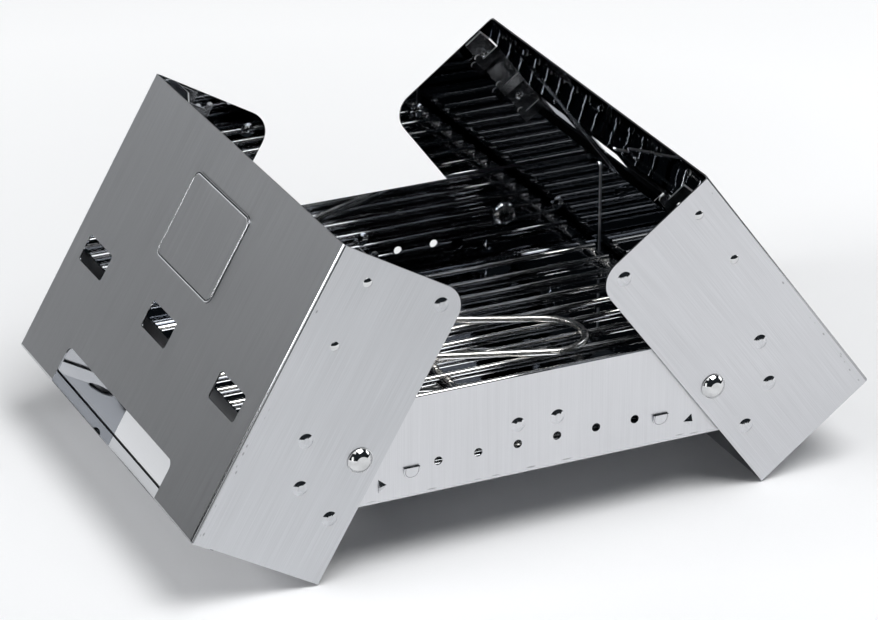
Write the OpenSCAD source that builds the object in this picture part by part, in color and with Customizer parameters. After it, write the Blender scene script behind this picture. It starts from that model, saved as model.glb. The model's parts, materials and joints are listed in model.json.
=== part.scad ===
// Folding charcoal grill: a fire tray carried between two swinging sheet shells.
// Each shell turns on two rivets, from upright, through the leaning stand, to flat over the tray.
// The modules of one shell work in that shell's own frame: X runs in from the end panel's outer
// face, Y across the grill with 0 in the middle, and Z up from the top of the bottom plate.
// The tray's modules have X and Y 0 in the middle of the tray and Z 0 at its underside.

/* [Sheet] */
// Thickness of the sheet steel
sheet = 0.8; // [0.6:0.1:1]
// Outside radius of the bends
bend_r = 1.8; // [1.4:0.1:3]

/* [Pose] */
// Lean of the left shell from upright, in degrees
lean_left = 30.2; // [10:0.1:45]
// Lean of the right shell from upright, in degrees
lean_right = 36.8; // [10:0.1:45]

/* [Shells] */
// Depth of the grill over the two wings of a shell
box_depth = 230; // [200:1:280]
// Height of a shell above its bottom plate
shell_h = 152; // [146:1:170]
// Width of a wing, from the end panel's outer face
wing_w = 71; // [68:1:80]
// Radius of the wing's top inner corner
wing_corner_r = 12; // [6:1:14]
// Width of the flange at the foot of the end panel
foot_flange = 11; // [8:0.5:14]
// Gap between that flange and the bottom plate
plate_gap = 2.5; // [1:0.5:4]
// How far that flange stays behind the wings' outer faces
flange_inset = 0.9; // [0.8:0.1:2]
// Height of the bottom plate's flanges inside the wings
plate_flange = 7; // [4:0.5:10]
// Diameter of the pressed feet in the bottom plate
foot_d = 14; // [8:1:20]
// Depth of the pressed feet
foot_press = 1.8; // [1:0.2:3]
// Distance of the pressed feet from the wings
foot_inset = 32; // [20:1:50]
// Distance of the pressed feet from the end panel's outer face
foot_x = 35; // [24:1:50]

/* [End panel] */
// Width of an air window
window_w = 30; // [20:1:40]
// Height of an air window
window_h = 14; // [8:1:18]
// Corner radius of an air window
window_r = 2; // [1:0.5:4]
// Middle of the air windows above the bottom plate
window_z = 61.4; // [50:0.1:70]
// Distance between the air windows
window_pitch = 85; // [60:1:90]
// Width of the notch at the foot of the end panel
notch_w = 137; // [100:1:160]
// Height of the notch
notch_h = 19.5; // [12:0.5:26]
// Corner radius of the notch
notch_r = 4; // [2:0.5:6]
// Width of the plain pressed plate
badge_w = 67; // [50:1:80]
// Height of the plain pressed plate
badge_h = 46; // [30:1:50]
// Corner radius of the plain pressed plate
badge_r = 5; // [3:0.5:8]
// Middle of the plain pressed plate below the shell's top edge
badge_drop = 43.6; // [40:0.1:48]
// How far the plain plate is pressed out
badge_press = 0.7; // [0.4:0.1:1]

/* [Pivots] */
// Distance of a pivot rivet from the wing's inner edge
pivot_in = 11; // [9:0.5:14]
// Height of a pivot rivet above the bottom plate
pivot_up = 62; // [60:0.5:64]
// Height of the pivot rivets above the tray's underside
pivot_z = 26.1; // [24:0.1:28]
// Diameter of the rivet's shank
pivot_d = 5; // [4:0.5:6]
// Radial clearance of the shank in the wing
running = 0.05; // [0.03:0.01:0.08]
// Diameter of the rivet's outer head
head_d = 12.5; // [10:0.5:15]
// Height of the rivet's outer head
head_h = 3; // [2:0.2:4]
// How much of the head's dome is pressed flat
head_flat = 0.7; // [0.2:0.1:1.2]
// Diameter of the rivet's formed inner head
collar_d = 12.6; // [10:0.2:14]
// Height of the formed inner head
collar_h = 2.4; // [1.6:0.2:3.2]
// Free gap beside each turning wing
side_play = 0.1; // [0.05:0.05:0.2]
// Gap between the shells' top edges when the grill is folded
fold_gap = 2; // [1:0.5:6]

/* [Tray] */
// Height of the tray's walls
tray_h = 50.8; // [44:0.2:54]
// Gap between a wing and the tray's wall
wing_gap = 1.6; // [1.5:0.1:2.4]
// Gap that the tray's corner keeps to the shells as they swing
swing_gap = 2.5; // [2:0.5:6]
// Width of the flanges folded inside the end walls
corner_flange = 12.5; // [8:0.5:16]
// Radius at the top of those flanges
flange_r = 3; // [1:0.5:5]

/* [Wall pattern] */
// Diameter of the draught holes
hole_d = 4.3; // [3:0.1:6]
// Number of draught holes in each long wall
hole_count = 6; // [2:1:8]
// Distance between the draught holes
hole_pitch = 20.3; // [14:0.1:22]
// Height of the draught holes above the tray's underside
hole_z = 16.2; // [13:0.1:20]
// Diameter of the spring dimples
dimple_d = 7.4; // [6:0.1:9]
// How far the spring dimples are pressed out
dimple_press = 1; // [0.6:0.05:1.3]
// How much of a dimple's dome is pressed flat
dimple_flat = 0.2; // [0.1:0.05:0.4]
// Distance of the stop dimples from a pivot
stop_r = 30.6; // [28:0.1:34]
// Distance of the fold dimples from the tray's middle
fold_stop_in = 10.2; // [8:0.1:14]
// Place along the tray of the half-moon tabs
moon_x = 64.3; // [62:0.1:68]
// Height of a half-moon tab's flat edge
moon_z = 16.1; // [14:0.1:20]
// Width of a half-moon tab
moon_w = 6.9; // [5:0.1:8]
// Height of a half-moon tab
moon_h = 5.6; // [4.5:0.1:7]
// How far a half-moon tab's flat edge is pressed out
moon_press = 1.35; // [0.9:0.05:1.4]
// Place along the tray of the triangular tabs' open sides
tri_x = 81; // [79:0.1:84]
// Height of the middle of the triangular tabs
tri_z = 9.4; // [8:0.1:14]
// Height of a triangular tab's open side
tri_h = 6.9; // [5:0.1:8]
// Width of a triangular tab
tri_w = 4.2; // [3:0.1:5]
// How far a triangular tab's open side is pressed out
tri_press = 1.35; // [0.9:0.05:1.4]

/* [Grate hooks] */
// Distance of the left brackets from the end panel's outer face
bracket_in_left = 14.7; // [12:0.1:16]
// Distance of the right brackets from the end panel's outer face
bracket_in_right = 9.2; // [6:0.1:16]
// Width of a bracket's base
bracket_w = 10.6; // [9:0.2:12]
// Height of a bracket
bracket_h = 53; // [50:1:56]
// How far a bracket's top stays below the wing's top edge
bracket_drop = 1; // [0.5:0.1:3]
// Length of the cut at the top corner of a bracket's flange
bracket_cut = 5; // [2:0.5:8]
// Depth of a bracket from the wing to the outer face of its hooks
bracket_depth = 15.2; // [10:0.2:18]
// Length of the seat between a hook's flange and its lip
seat_len = 9.8; // [7:0.2:11]
// Thickness of a hook's lip
lip_w = 3.6; // [2.6:0.2:4.6]
// Height of a hook's lip over its seat
lip_h = 4.1; // [3:0.1:5]
// How far the top hook's lip stays below the wing's top edge
lip_drop = 0.5; // [0.2:0.1:3]
// Height of a hook under its seat
hook_h = 5.1; // [4:0.1:6]
// Distance from one hook to the next
hook_pitch = 20.3; // [18:0.1:21]
// Number of hooks on a bracket
hook_count = 3; // [1:1:3]
// Diameter of the bracket rivets' heads
spot_d = 4.6; // [3.6:0.2:6]
// Height of the bracket rivets' heads
spot_h = 0.9; // [0.6:0.1:1.2]
// Distance of the upper bracket rivet from the bracket's top
spot_drop = 11; // [8:0.5:14]
// Distance between the two rivets of a bracket
spot_pitch = 32.4; // [28:0.2:34]

/* [Grate] */
// Number of bars
bar_count = 13; // [9:2:13]
// Diameter of the bars
bar_d = 3; // [2:0.1:3.4]
// Distance between the bars
bar_pitch = 15.55; // [12:0.05:15.6]
// Diameter of the cross wires
cross_d = 4; // [3:0.1:4.4]
// Gap from the cross wires' ends to the tray's long walls, both sides together
grate_play = 9.2; // [6:0.1:14]
// How far the loose grate lies off the middle of the tray, towards the back
grate_shift = 1.9; // [0:0.1:2]
// Depth of the welds between bars and cross wires
weld = 0.3; // [0.2:0.05:0.5]
// Gap under the loose grate and under the loose handle
rest_gap = 0.05; // [0.02:0.01:0.1]

/* [Handle] */
// Diameter of the handle's wire
handle_d = 3.5; // [3:0.1:4.4]
// Radius of the handle's bend
handle_r = 19.3; // [12:0.1:24]
// Length of the handle's straight arms
handle_arm = 118; // [80:1:120]
// How far each arm runs out of parallel, in degrees
handle_flare = 2; // [0:0.5:3]
// Radius of the turned-up ends
handle_hook_r = 4.5; // [3:0.5:6]
// Height of the turned-up ends
handle_tip = 3; // [1:0.5:5]
// Place of the bend's middle along the tray
handle_x = 60.6; // [40:0.1:66]
// Place of the bend's middle across the tray
handle_y = 1; // [-10:0.1:10]
// Turn of the handle on the grate, in degrees
handle_turn = -21.4; // [-25:0.1:0]

/* [Hidden] */
$fn = 64;
eps = 0.01;
steel = [0.79, 0.80, 0.82];
steel_plate = [0.62, 0.64, 0.66];
steel_hook = [0.55, 0.57, 0.60];
steel_head = [0.86, 0.87, 0.89];
steel_wire = [0.72, 0.72, 0.70];

// The pivots' places follow from the two shells meeting when folded
half = box_depth/2;
arm = wing_w - pivot_in;
pivot_x = shell_h - pivot_up + fold_gap/2;
fold_stop_r = pivot_x - fold_stop_in;
badge_z = shell_h - badge_drop;
pivot_r = pivot_d/2;
bore_r = pivot_r + running;

// The tray's corner swings clear of the end panel and of the bottom plate
swing_r = min(arm - sheet, pivot_up) - swing_gap;
tray_half = pivot_x + sqrt(swing_r^2 - pivot_z^2);
tray_depth = box_depth - 2*(sheet + wing_gap);
tray_in = tray_depth/2 - sheet;

// The grate's end wires match the seats of the right hooks
grate_x = pivot_x + arm - (bracket_in_right + seat_len - cross_d/2);
bar_half = grate_x + cross_d/2 - 0.6;
cross_z = sheet + rest_gap + cross_d/2;
bar_z = cross_z + (cross_d + bar_d)/2 - weld;
cross_half = tray_in - grate_play/2;
handle_z = bar_z + (bar_d + handle_d)/2 + rest_gap;

// A bracket's rivets and its hooks' seats above the bottom plate
bracket_top = shell_h - bracket_drop;
spots_z = [bracket_top - spot_drop, bracket_top - spot_drop - spot_pitch];
seats_z = [for (i = [0:hook_count - 1]) shell_h - lip_drop - lip_h - i*hook_pitch];

// Stops: each entry is the place of a wing dimple from the end panel and above the bottom plate
stops = concat(
    [for (a = [180, 225, 270]) [arm + stop_r*cos(a), pivot_up + stop_r*sin(a)]],
    [[arm, pivot_up + fold_stop_r]]
);

// Where a point of a shell lies from its pivot, towards the middle and up, when the shell leans
function leaning(lean, in, up) = [in*cos(lean) + up*sin(lean), up*cos(lean) - in*sin(lean)];

// The same point for the shell on one side of the tray: -1 is left, 1 is right
function in_tray(side, lean, in, up) = [side*(pivot_x - leaning(lean, in, up).x),
                                        pivot_z + leaning(lean, in, up).y];

// The tray tilts a little, because the two shells stand at different leans
foot_left = in_tray(-1, lean_left, pivot_in, -pivot_up - sheet);
foot_right = in_tray(1, lean_right, pivot_in, -pivot_up - sheet);
tilt = atan2(foot_right.y - foot_left.y, foot_right.x - foot_left.x);
function levelled(p) = [p.x*cos(tilt) + p.y*sin(tilt), p.y*cos(tilt) - p.x*sin(tilt)];

// The outer ends of the standing grill are the bends at the feet of the end panels
toe_left = levelled(in_tray(-1, lean_left, bend_r - arm, bend_r - sheet - pivot_up)).x - bend_r;
toe_right = levelled(in_tray(1, lean_right, bend_r - arm, bend_r - sheet - pivot_up)).x + bend_r;
middle = (toe_left + toe_right)/2;
ground = levelled(foot_left).y;

// Places

// From the tray's frame to the standing grill
module stand() {
    translate([-middle, 0, -ground])
        rotate([0, tilt, 0])
            children();
}

// From a shell's frame to the standing grill: side -1 is left, 1 is right
module shell_place(side) {
    stand()
        mirror([side > 0 ? 1 : 0, 0, 0])
            translate([-pivot_x, 0, pivot_z])
                rotate([0, side > 0 ? lean_right : lean_left, 0])
                    translate([-arm, 0, -pivot_up])
                        children();
}

// From a pivot on the front of the tray to the standing grill: face -1 is front, 1 is back
module pivot_place(side, face) {
    stand()
        mirror([0, face > 0 ? 1 : 0, 0])
            translate([side*pivot_x, 0, pivot_z])
                children();
}

// A front piece, and the same piece on the back
module front_and_back() {
    children();
    mirror([0, 1, 0])
        children();
}

// A left piece, and the same piece on the right
module left_and_right() {
    children();
    mirror([1, 0, 0])
        children();
}

// Shapes

// A rectangle from the origin along X, with round corners at its near end
module tub(len, half_w, r) {
    translate([r, -half_w])
        square([len - r, 2*half_w]);
    translate([0, r - half_w])
        square([len, 2*(half_w - r)]);
    for (side = [-1, 1])
        translate([r, side*(half_w - r)])
            circle(r);
}

// A rectangle in the middle of the origin, with four round corners
module rounded(w, h, r) {
    square([w - 2*r, h], center = true);
    square([w, h - 2*r], center = true);
    for (x = [-1, 1], y = [-1, 1])
        translate([x*(w/2 - r), y*(h/2 - r)])
            circle(r);
}

// Its child's outline on the YZ plane, drawn out along X
module along_x(len) {
    rotate([90, 0, 90])
        linear_extrude(len)
            children();
}

// Its child's outline on the XZ plane, drawn out along Y
module along_y(len) {
    translate([0, len, 0])
        rotate([90, 0, 0])
            linear_extrude(len)
                children();
}

// A round bar along Y from the origin
module rod_y(r, len) {
    rotate([-90, 0, 0])
        cylinder(r = r, h = len);
}

// Radius of the ball whose cap has this width and height
function cap_r(d, h) = (d*d/4 + h*h)/(2*h);

// The ball that presses a dimple of this width and depth towards +Y from the plane Y 0
module press_ball(d, h) {
    translate([0, h - cap_r(d, h), 0])
        sphere(cap_r(d, h));
}

// A spring dimple: a dome with a flat top that stands towards -Y from the plane Y 0
module dimple() {
    root = min(0.2, sheet/2);
    mirror([0, 1, 0])
        intersection() {
            press_ball(dimple_d, dimple_press + dimple_flat);
            translate([-dimple_d, -root, -dimple_d])
                cube([2*dimple_d, dimple_press + root, 2*dimple_d]);
        }
}

// Shells

// The bent sheet's cut in plan: the end panel and the two wings
module shell_plan() {
    difference() {
        tub(wing_w, half, bend_r);
        translate([sheet, 0])
            tub(wing_w, half - sheet, bend_r - sheet);
    }
}

// The flange turned in at the foot of the end panel
module shell_flange() {
    translate([0, flange_inset - half, -sheet])
        cube([foot_flange, 2*(half - flange_inset), sheet + eps]);
}

// What rounds the bend between the end panel and that flange
module flange_rounding() {
    translate([-1, -half - 1, -sheet - 1])
        difference() {
            cube([bend_r + 1, 2*half + 2, bend_r + 1]);
            translate([bend_r + 1, -1, bend_r + 1])
                rod_y(bend_r, 2*half + 4);
        }
}

// The plain plate pressed out of the end panel
module badge_skin() {
    translate([-badge_press, 0, badge_z])
        along_x(sheet + eps)
            rounded(badge_w, badge_h, badge_r);
}

module badge_hollow() {
    rim = 1.2*sheet;
    translate([sheet - badge_press, 0, badge_z])
        along_x(badge_press + 1)
            rounded(badge_w - 2*rim, badge_h - 2*rim, badge_r - rim);
}

module air_windows() {
    for (i = [-1:1])
        translate([-1, i*window_pitch, window_z])
            along_x(sheet + 2)
                rounded(window_w, window_h, window_r);
}

// The notch keeps round corners at its top only
module foot_notch() {
    translate([-1, 0, 0])
        along_x(bend_r + 1.2) {
            translate([0, notch_h/2])
                rounded(notch_w, notch_h, notch_r);
            translate([-notch_w/2, 0])
                square([notch_w, notch_h/2]);
        }
}

module wing_corner() {
    translate([wing_w - wing_corner_r, -half - 1, shell_h - wing_corner_r])
        difference() {
            cube([wing_corner_r + 1, 2*half + 2, wing_corner_r + 1]);
            translate([0, -1, 0])
                rod_y(wing_corner_r, 2*half + 4);
        }
}

module shell(side) {
    bracket_in = side > 0 ? bracket_in_right : bracket_in_left;
    difference() {
        union() {
            linear_extrude(shell_h)
                shell_plan();
            shell_flange();
            badge_skin();
            front_and_back()
                for (p = stops)
                    translate([p.x, -half, p.y])
                        dimple();
        }
        flange_rounding();
        badge_hollow();
        air_windows();
        foot_notch();
        wing_corner();
        front_and_back() {
            for (p = stops)
                translate([p.x, sheet - half, p.y])
                    dimple();
            translate([arm, -half - 1, pivot_up])
                rod_y(bore_r, sheet + 2);
            for (z = spots_z)
                translate([bracket_in + bracket_w/2, -half - 1, z])
                    rod_y(spot_d*0.3, sheet + 2);
        }
    }
}

// The bottom plate's cut across the grill: its edges are bent up inside the wings
module bottom_plate_cut() {
    wide = half - sheet;
    difference() {
        rotate(90)
            translate([-sheet, 0])
                tub(sheet + plate_flange, wide, bend_r);
        rotate(90)
            tub(sheet + plate_flange, wide - sheet, bend_r - sheet);
    }
}

module bottom_plate() {
    difference() {
        union() {
            translate([foot_flange + plate_gap, 0, 0])
                along_x(wing_w - foot_flange - plate_gap)
                    bottom_plate_cut();
            pressed_feet()
                translate([0, 0, -sheet])
                    foot_cap();
        }
        pressed_feet()
            translate([0, 0, cap_r(foot_d, foot_press) - foot_press])
                sphere(cap_r(foot_d, foot_press));
    }
}

module pressed_feet() {
    for (face = [-1, 1])
        translate([foot_x, face*(half - foot_inset), 0])
            children();
}

module foot_cap() {
    intersection() {
        translate([0, 0, cap_r(foot_d, foot_press) - foot_press])
            sphere(cap_r(foot_d, foot_press));
        translate([0, 0, -2*foot_press])
            cylinder(d = 2*foot_d, h = 2*foot_press + sheet/2);
    }
}

// Grate hooks

// One hook, from the flange out: a seat for the grate's end wire, and a lip that keeps it
module hook_outline() {
    translate([0, -hook_h])
        square([seat_len + lip_w, hook_h]);
    translate([seat_len, -eps])
        square([lip_w, lip_h - lip_w/2 + eps]);
    translate([seat_len + lip_w/2, lip_h - lip_w/2])
        circle(lip_w/2);
}

module hook_bracket(side) {
    bracket_in = side > 0 ? bracket_in_right : bracket_in_left;
    translate([bracket_in, sheet - half, 0])
        difference() {
            union() {
                translate([0, 0, bracket_top - bracket_h])
                    cube([bracket_w, sheet, bracket_h]);
                translate([0, 0, bracket_top - bracket_h])
                    hook_flange();
                for (z = seats_z)
                    translate([0, bracket_depth - sheet, z])
                        along_y(sheet)
                            hook_outline();
            }
            for (z = spots_z)
                translate([bracket_w/2, -1, z])
                    rod_y(spot_d*0.3, sheet + 2);
        }
}

// The flange that stands in from the wing and carries the hooks
module hook_flange() {
    along_x(sheet)
        polygon([[0, 0], [bracket_depth, 0], [bracket_depth, bracket_h - bracket_top + seats_z[0]],
                 [bracket_depth - bracket_cut, bracket_h], [0, bracket_h]]);
}

module hook_rivets(side) {
    bracket_in = side > 0 ? bracket_in_right : bracket_in_left;
    for (z = spots_z)
        translate([bracket_in + bracket_w/2, 0, z]) {
            translate([0, -half, 0])
                rod_y(spot_d*0.3, 2*sheet);
            translate([0, -half, 0])
                mirror([0, 1, 0])
                    rivet_cap(spot_d, spot_h);
            translate([0, 2*sheet - half, 0])
                rivet_cap(spot_d, spot_h);
        }
}

// A domed head on the plane Y 0, standing towards +Y
module rivet_cap(d, h) {
    intersection() {
        press_ball(d, h);
        translate([-d, 0, -d])
            cube([2*d, 2*h, 2*d]);
    }
}

// Pivots, drawn at the front with the tray towards +Y

// The head's dome on the plane Y 0, standing towards -Y, with its top pressed flat
module head_dome(d, h) {
    mirror([0, 1, 0])
        intersection() {
            press_ball(d, h + head_flat);
            translate([-d, -0.2, -d])
                cube([2*d, h + 0.2, 2*d]);
        }
}

module pivot_rivet() {
    rim = 0.5;
    shank = side_play + sheet + wing_gap + sheet + 0.8*collar_h;
    translate([0, -half - side_play, 0]) {
        translate([0, -rim/2, 0])
            rod_y(pivot_r, rim/2 + shank);
        translate([0, -rim, 0])
            rod_y(head_d/2, rim);
        translate([0, -rim, 0])
            head_dome(head_d - rim, head_h - rim);
    }
}

// Half of the formed head's cut, from the shank to its round rim
module collar_outline() {
    translate([pivot_r, 0])
        square([collar_d/2 - pivot_r - collar_h, collar_h]);
    intersection() {
        translate([collar_d/2 - collar_h, 0])
            circle(collar_h);
        translate([pivot_r, 0])
            square([collar_d/2 - pivot_r, collar_h]);
    }
}

module pivot_collar() {
    translate([0, -tray_in, 0])
        rotate([-90, 0, 0])
            rotate_extrude()
                collar_outline();
}

module pivot_washer() {
    thick = wing_gap - side_play;
    translate([0, -tray_depth/2 - thick, 0])
        difference() {
            rod_y(collar_d/2, thick);
            translate([0, -1, 0])
                rod_y(pivot_r, thick + 2);
        }
}

// Tray

// A block with round edges along its foot and round upright corners
module pan_block(half_x, half_y, h, r) {
    intersection() {
        translate([-half_x, 0, 0])
            rotate([0, -90, 0])
                mirror([0, 0, 1])
                    linear_extrude(2*half_x)
                        tub(h, half_y, r);
        translate([0, half_y, 0])
            rotate([90, 0, 0])
                linear_extrude(2*half_y)
                    rotate(90)
                        tub(h, half_x, r);
        linear_extrude(h)
            rounded(2*half_x, 2*half_y, r);
    }
}

// The long walls' ends, folded in flat behind the end walls
module corner_flanges() {
    left_and_right()
        front_and_back()
            translate([tray_half - 2*sheet, -tray_in - eps, sheet - eps])
                along_x(sheet + eps)
                    flange_outline();
}

module flange_outline() {
    h = tray_h - sheet;
    difference() {
        square([corner_flange, h]);
        translate([corner_flange - flange_r, h - flange_r])
            difference() {
                square(flange_r + 1);
                circle(flange_r);
            }
    }
}

// Places of the spring dimples on a long wall: the stops, and the pair that holds the fold
module tray_dimple_places() {
    for (x = [pivot_x + stop_r, fold_stop_in])
        left_and_right()
            front_and_back()
                translate([x, -tray_depth/2, pivot_z])
                    children();
}

module moon_places() {
    left_and_right()
        front_and_back()
            translate([moon_x, -tray_depth/2, moon_z])
                children();
}

// A half-moon tab's outline under its flat edge
module moon_outline(grow) {
    r = moon_w/2 + grow;
    intersection() {
        union() {
            translate([-r, moon_w/2 - moon_h])
                square([2*r, moon_h]);
            translate([0, moon_w/2 - moon_h])
                circle(r);
        }
        translate([-2*r, -4*r])
            square([4*r, 4*r]);
    }
}

// A tab that stands furthest out at its flat edge; shift moves it in through the sheet
module moon_wedge(grow, shift) {
    intersection() {
        translate([0, -moon_press - 1, 0])
            along_y(moon_press + 1 + shift + sheet/2)
                moon_outline(grow);
        translate([0, shift, -moon_h])
            rotate([atan2(moon_press, moon_h), 0, 0])
                translate([-2*moon_w, 0, -moon_w])
                    cube([4*moon_w, 3*moon_w, 4*moon_w]);
    }
}

module tri_places() {
    left_and_right()
        front_and_back()
            translate([tri_x, -tray_depth/2, tri_z])
                children();
}

// A ridged tab, its point towards the tray's middle and its open side on the plane X 0
module tri_wedge(shift) {
    turn = atan2(tri_h/2, tri_w);
    slope = atan2(tri_press, tri_w*sin(turn));
    big = 4*tri_w;
    translate([0, shift, 0])
        intersection() {
            tri_ridge(turn, slope, big);
            translate([-big, -tri_press - 1, -big])
                cube([big, tri_press + 1 + sheet/2, 2*big]);
        }
}

// What lies behind both slopes of the ridge
module tri_ridge(turn, slope, big) {
    intersection() {
        tri_slope(turn, slope, big);
        mirror([0, 0, 1])
            tri_slope(turn, slope, big);
    }
}

module tri_slope(turn, slope, big) {
    translate([-tri_w, 0, 0])
        rotate([0, -turn, 0])
            rotate([-slope, 0, 0])
                translate([-big, 0, -big])
                    cube([2*big, big, 2*big]);
}

module draught_holes() {
    for (i = [0:hole_count - 1])
        translate([(i - (hole_count - 1)/2)*hole_pitch, -tray_depth/2 - 1, hole_z])
            rod_y(hole_d/2, tray_depth + 2);
}

module fire_tray() {
    difference() {
        union() {
            difference() {
                pan_block(tray_half, tray_depth/2, tray_h, bend_r);
                translate([0, 0, sheet])
                    pan_block(tray_half - sheet, tray_in, tray_h, bend_r - sheet);
            }
            corner_flanges();
            tray_dimple_places()
                dimple();
            moon_places()
                moon_wedge(0.5, 0);
            tri_places()
                tri_wedge(0);
        }
        tray_dimple_places()
            translate([0, sheet, 0])
                dimple();
        moon_places()
            moon_wedge(0, sheet);
        tri_places()
            tri_wedge(sheet);
        draught_holes();
        for (x = [-pivot_x, pivot_x])
            translate([x, -tray_depth/2 - 1, pivot_z])
                rod_y(pivot_r, tray_depth + 2);
    }
}

// Grate and handle

module bars() {
    for (i = [0:bar_count - 1])
        translate([-bar_half, grate_shift + (i - (bar_count - 1)/2)*bar_pitch, bar_z])
            rotate([0, 90, 0])
                cylinder(d = bar_d, h = 2*bar_half);
}

module cross_wires() {
    for (x = [-grate_x, 0, grate_x])
        translate([x, grate_shift - cross_half, cross_z])
            rod_y(cross_d/2, 2*cross_half);
}

// One arm of the handle, run out along -X, with its end turned up
module handle_side() {
    rotate([0, 0, handle_flare])
        translate([0, -handle_r, 0]) {
            rotate([0, -90, 0])
                cylinder(d = handle_d, h = handle_arm);
            translate([-handle_arm, 0, handle_hook_r])
                rotate([90, 0, 0])
                    rotate([0, 0, 180])
                        rotate_extrude(angle = 90)
                            translate([handle_hook_r, 0])
                                circle(d = handle_d);
            translate([-handle_arm - handle_hook_r, 0, handle_hook_r])
                cylinder(d = handle_d, h = handle_tip);
        }
}

module handle() {
    front_and_back()
        handle_side();
    rotate([0, 0, handle_flare - 90])
        rotate_extrude(angle = 180 - 2*handle_flare)
            translate([handle_r, 0])
                circle(d = handle_d);
}

// The finished sub-parts, each in its place

module tray() {
    color(steel)
        stand()
            fire_tray();
}

module left_shell() {
    color(steel)
        shell_place(-1)
            shell(-1);
}

module right_shell() {
    color(steel)
        shell_place(1)
            shell(1);
}

module left_bottom_plate() {
    color(steel_plate)
        shell_place(-1)
            bottom_plate();
}

module right_bottom_plate() {
    color(steel_plate)
        shell_place(1)
            bottom_plate();
}

module hooks(side, face) {
    color(steel_hook)
        shell_place(side)
            mirror([0, face > 0 ? 1 : 0, 0])
                hook_bracket(side);
}

module rivets(side, face) {
    color(steel_head)
        shell_place(side)
            mirror([0, face > 0 ? 1 : 0, 0])
                hook_rivets(side);
}

module pivot(side, face) {
    color(steel_head)
        pivot_place(side, face)
            pivot_rivet();
}

module collar(side, face) {
    color(steel_head)
        pivot_place(side, face)
            pivot_collar();
}

module washer(side, face) {
    color(steel_hook)
        pivot_place(side, face)
            pivot_washer();
}

module grate_bars() {
    color(steel_wire)
        stand()
            bars();
}

module grate_cross_wires() {
    color(steel_wire)
        stand()
            cross_wires();
}

module lifting_handle() {
    color(steel_wire)
        stand()
            translate([handle_x, handle_y, handle_z])
                rotate([0, 0, handle_turn])
                    handle();
}

tray();
left_shell();
right_shell();
left_bottom_plate();
right_bottom_plate();
hooks(-1, -1);  // left_front_hooks
hooks(-1, 1);  // left_back_hooks
hooks(1, -1);  // right_front_hooks
hooks(1, 1);  // right_back_hooks
rivets(-1, -1);  // left_front_hook_rivets
rivets(-1, 1);  // left_back_hook_rivets
rivets(1, -1);  // right_front_hook_rivets
rivets(1, 1);  // right_back_hook_rivets
pivot(-1, -1);  // left_front_pivot
pivot(-1, 1);  // left_back_pivot
pivot(1, -1);  // right_front_pivot
pivot(1, 1);  // right_back_pivot
collar(-1, -1);  // left_front_collar
collar(-1, 1);  // left_back_collar
collar(1, -1);  // right_front_collar
collar(1, 1);  // right_back_collar
washer(-1, -1);  // left_front_washer
washer(-1, 1);  // left_back_washer
washer(1, -1);  // right_front_washer
washer(1, 1);  // right_back_washer
grate_bars();
grate_cross_wires();
lifting_handle();
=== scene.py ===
"""Looks of the folding charcoal grill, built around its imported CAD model.

All lengths are in metres, in the frame of the CAD model. Each sub-assembly is a class that dresses
its CAD nodes and adds the small pieces that the real one has. Each finish is a frozen dataclass.
"""

import json
import logging
import math
from dataclasses import dataclass
from enum import Enum
from typing import Iterable, Optional, Sequence

import bmesh
import bpy
from mathutils import Matrix, Vector

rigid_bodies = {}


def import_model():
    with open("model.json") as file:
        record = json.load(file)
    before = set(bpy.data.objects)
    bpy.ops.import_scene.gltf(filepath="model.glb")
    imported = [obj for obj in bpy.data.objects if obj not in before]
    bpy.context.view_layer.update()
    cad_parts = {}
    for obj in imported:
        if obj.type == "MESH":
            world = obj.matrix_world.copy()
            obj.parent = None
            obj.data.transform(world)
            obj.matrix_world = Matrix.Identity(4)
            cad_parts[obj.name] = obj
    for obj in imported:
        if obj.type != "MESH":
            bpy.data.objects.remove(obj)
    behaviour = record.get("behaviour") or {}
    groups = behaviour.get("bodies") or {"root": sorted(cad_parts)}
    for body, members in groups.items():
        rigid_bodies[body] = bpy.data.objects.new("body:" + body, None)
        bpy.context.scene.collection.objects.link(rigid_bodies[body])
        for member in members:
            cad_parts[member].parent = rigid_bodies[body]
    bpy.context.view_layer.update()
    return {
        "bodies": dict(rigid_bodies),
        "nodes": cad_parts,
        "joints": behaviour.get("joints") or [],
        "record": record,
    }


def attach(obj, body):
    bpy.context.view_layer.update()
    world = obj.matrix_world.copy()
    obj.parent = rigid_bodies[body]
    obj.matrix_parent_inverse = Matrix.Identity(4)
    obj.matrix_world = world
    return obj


log = logging.getLogger("grill")
MM = 0.001
Pair = tuple[float, float]
Triple = tuple[float, float, float]
Color = Point = Triple
Socket = bpy.types.NodeSocket
Material = bpy.types.Material
Object = bpy.types.Object

# The middle of a noise texture's range, which holds most of its values, and a narrower part of it
NOISE_LOW, NOISE_HIGH = 0.3, 0.7
CLOUD_LOW, CLOUD_HIGH = 0.35, 0.65

# An end panel lies within this distance of its frame's origin, along X
PANEL_X = 1.5 * MM

# How the sharp edges of the sheet pieces are broken, and how their flat faces keep an even shading
BROKEN_EDGE = 0.2 * MM
BROKEN_STEPS = 4
BROKEN_FROM = math.radians(50)
JOIN_REACH = 0.002 * MM
CRISP_FROM = math.radians(21)
FACE_WEIGHT = 90
SMOOTH_TO = math.radians(40)


class Side(Enum):
    """The two shells of the grill, by the way they face along X."""

    LEFT = -1
    RIGHT = 1


class Face(Enum):
    """The two long sides of the grill, by the way they face along Y."""

    FRONT = -1
    BACK = 1


# Shader building


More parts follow.
